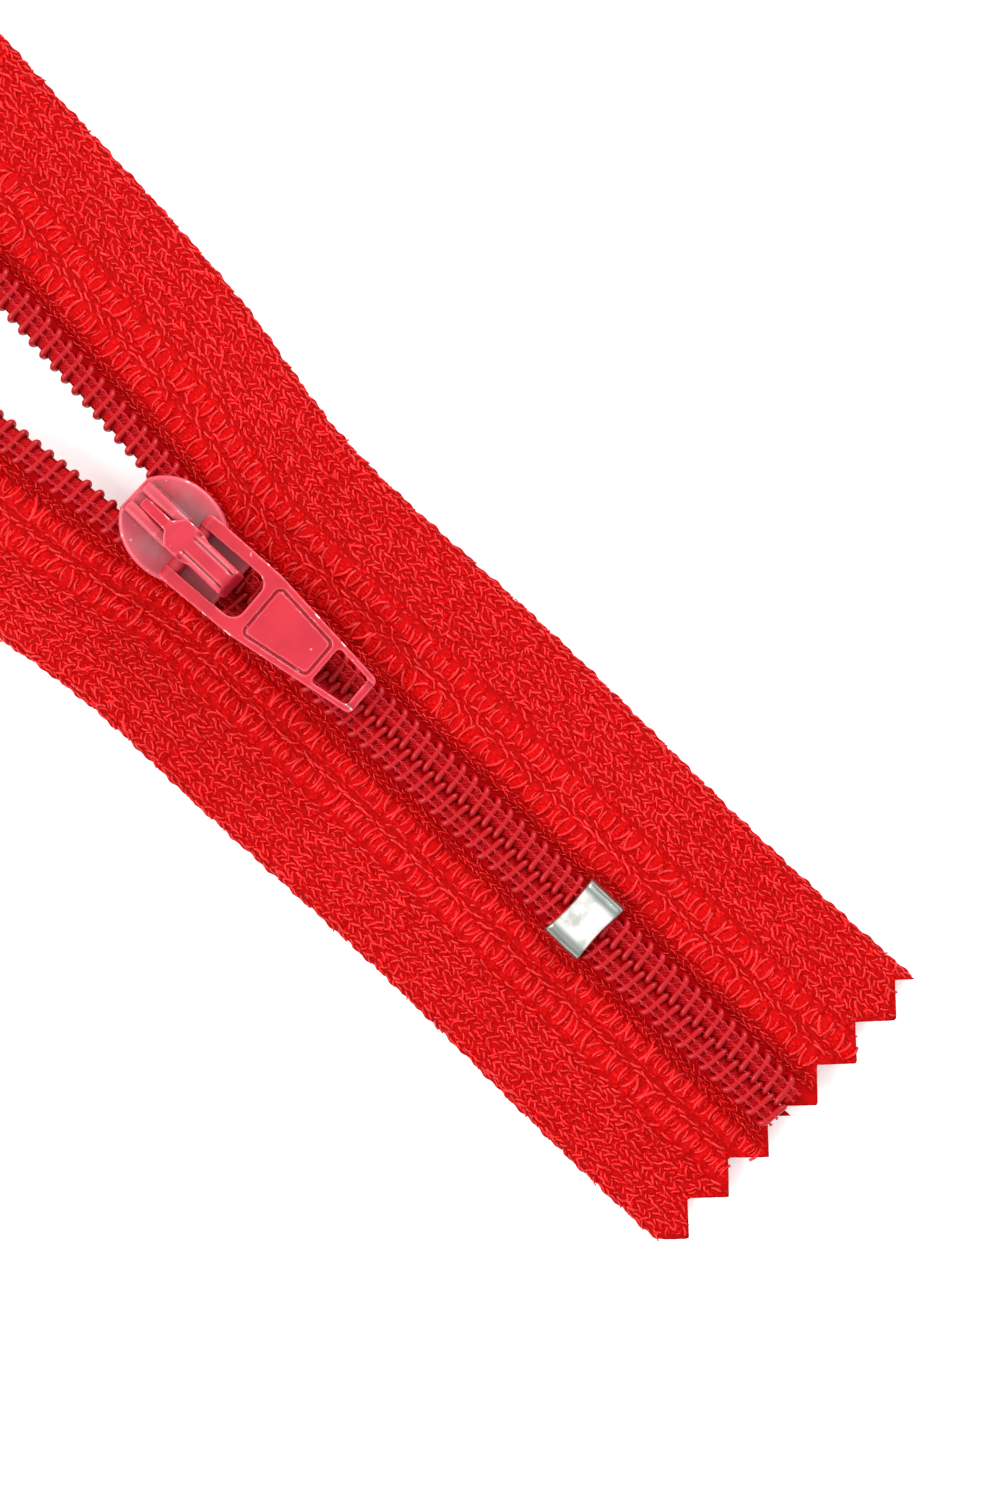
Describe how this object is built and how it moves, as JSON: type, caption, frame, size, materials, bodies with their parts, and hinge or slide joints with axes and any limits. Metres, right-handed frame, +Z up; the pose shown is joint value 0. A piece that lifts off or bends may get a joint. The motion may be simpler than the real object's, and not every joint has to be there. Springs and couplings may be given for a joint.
{
  "type": "zipper",
  "caption": "Closed-end coil zipper lying partly open, with a lacquered auto-lock slider, a cut-out pull tab and metal end stops.",
  "frame": {"origin": "on the table under the middle of the whole zipper", "axes": "+X across the tapes to the right, +Y along the chain towards the open end, +Z up, slider's pull on the upper side"},
  "size_m": [0.0419, 0.1411, 0.0068],
  "materials": {
    "red_tape": "woven polyester tape with a fine rib",
    "red_coil": "dyed nylon monofilament",
    "core_cord": "dyed filler cord",
    "stitch_thread": "polyester sewing thread",
    "slider_paint": "thin red lacquer on die-cast zinc",
    "crown_paint": "thin red lacquer on a stamped cap",
    "spring_steel": "bare spring strip",
    "pull_paint": "glossy pink-red lacquer on die-cast zinc",
    "stop_metal": "polished nickel-silver clip"
  },
  "bodies": {
    "chain": {"left_coil_lower": "red_coil", "left_core_cord_lower": "core_cord", "left_inner_stitching_lower": "stitch_thread", "left_outer_stitching_lower": "stitch_thread", "left_tape_lower": "red_tape", "right_coil_lower": "red_coil", "right_core_cord_lower": "core_cord", "right_inner_stitching_lower": "stitch_thread", "right_outer_stitching_lower": "stitch_thread", "right_tape_lower": "red_tape", "bottom_stop": "stop_metal"},
    "left_stringer": {"left_coil_upper": "red_coil", "left_core_cord_upper": "core_cord", "left_inner_stitching_upper": "stitch_thread", "left_outer_stitching_upper": "stitch_thread", "left_tape_upper": "red_tape", "left_top_stop": "stop_metal"},
    "right_stringer": {"right_coil_upper": "red_coil", "right_core_cord_upper": "core_cord", "right_inner_stitching_upper": "stitch_thread", "right_outer_stitching_upper": "stitch_thread", "right_tape_upper": "red_tape", "right_top_stop": "stop_metal"},
    "slider": {"slider_body": "slider_paint", "crown_cap": "crown_paint"},
    "lock": {"lock_spring": "spring_steel"},
    "pull": {"pull_tab": "pull_paint"}
  },
  "joints": [
    {"name": "slider_slide", "type": "slide", "parent": "chain", "child": "slider", "axis": [0, 1, 0], "range_m": [-0.03118, 0.05687], "deforming": ["left_coil_lower", "left_coil_upper", "left_core_cord_lower", "left_core_cord_upper", "left_inner_stitching_lower", "left_inner_stitching_upper", "left_outer_stitching_lower", "left_outer_stitching_upper", "left_tape_lower", "left_tape_upper", "right_coil_lower", "right_coil_upper", "right_core_cord_lower", "right_core_cord_upper", "right_inner_stitching_lower", "right_inner_stitching_upper", "right_outer_stitching_lower", "right_outer_stitching_upper", "right_tape_lower", "right_tape_upper"]},
    {"name": "left_stringer_swing", "type": "hinge", "parent": "chain", "child": "left_stringer", "pos_m": [0, -0.02523, 0], "axis": [0, 0, 1], "range_deg": [-5.05, 2.82]},
    {"name": "right_stringer_swing", "type": "hinge", "parent": "chain", "child": "right_stringer", "pos_m": [0, -0.02523, 0], "axis": [0, 0, -1], "range_deg": [-5.05, 2.82]},
    {"name": "pull_swing", "type": "hinge", "parent": "slider", "child": "pull", "pos_m": [-0.00018, -0.01302, 0.00521], "axis": [-0.9986, -0.0523, 0], "range_deg": [0, 176]},
    {"name": "lock_lift", "type": "hinge", "parent": "slider", "child": "lock", "pos_m": [0, -0.01089, 0.00451], "axis": [-1, 0, 0], "range_deg": [0, 3.5], "stiffness_Nm_per_rad": 0.002}
  ],
  "couplings": [
    {"joint": "left_stringer_swing", "follows": "slider_slide", "rad_per_m": -1.5499},
    {"joint": "right_stringer_swing", "follows": "slider_slide", "rad_per_m": -1.5499}
  ]
}
